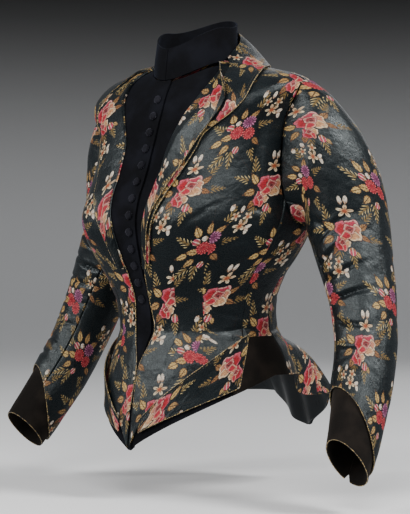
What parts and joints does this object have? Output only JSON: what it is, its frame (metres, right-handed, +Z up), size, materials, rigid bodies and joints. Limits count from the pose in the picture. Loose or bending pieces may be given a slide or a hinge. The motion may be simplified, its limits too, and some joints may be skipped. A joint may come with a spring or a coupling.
{
  "type": "bodice",
  "caption": "Fitted brocade day bodice with a buttoned velvet vest, notched lapels, standing collar, velvet cuffs, pointed basque flaps and a flared tail.",
  "frame": {"origin": "middle of the neck between the tops of the shoulder seams, where the wearer carries the garment", "axes": "+Z up, the wearer faces -Y, the wearer's left is +X"},
  "size_m": [0.656, 0.3563, 0.5907],
  "materials": {
    "brocade": "blue-black satin brocade with woven sprays of roses, gold leaves and small white flowers",
    "velvet": "black cotton velvet with a short pile",
    "button_velvet": "black velvet drawn over a button mould",
    "satin": "black silk satin"
  },
  "bodies": {
    "root": {"front_left": "brocade", "underarm_left": "brocade", "hip_panel_left": "velvet", "side_back_left": "brocade", "back_left": "brocade", "hem_band_left": "velvet", "basque_flap_left": "brocade", "lapel_left": "brocade", "front_right": "brocade", "underarm_right": "brocade", "hip_panel_right": "velvet", "side_back_right": "brocade", "back_right": "brocade", "hem_band_right": "velvet", "basque_flap_right": "brocade", "lapel_right": "brocade", "tail_lining": "satin", "vest_right": "velvet", "vest_left": "velvet", "button_01": "button_velvet", "button_02": "button_velvet", "button_03": "button_velvet", "button_04": "button_velvet", "button_05": "button_velvet", "button_06": "button_velvet", "button_07": "button_velvet", "button_08": "button_velvet", "button_09": "button_velvet", "button_10": "button_velvet", "button_11": "button_velvet", "button_12": "button_velvet", "button_13": "button_velvet", "collar_stand_left": "velvet", "collar_stand_right": "velvet", "collar_fall_left": "brocade", "collar_fall_right": "brocade", "sleeve_upper_left": "brocade", "sleeve_under_left": "brocade", "cuff_left": "velvet", "sleeve_upper_right": "brocade", "sleeve_under_right": "brocade", "cuff_right": "velvet"}
  },
  "joints": []
}
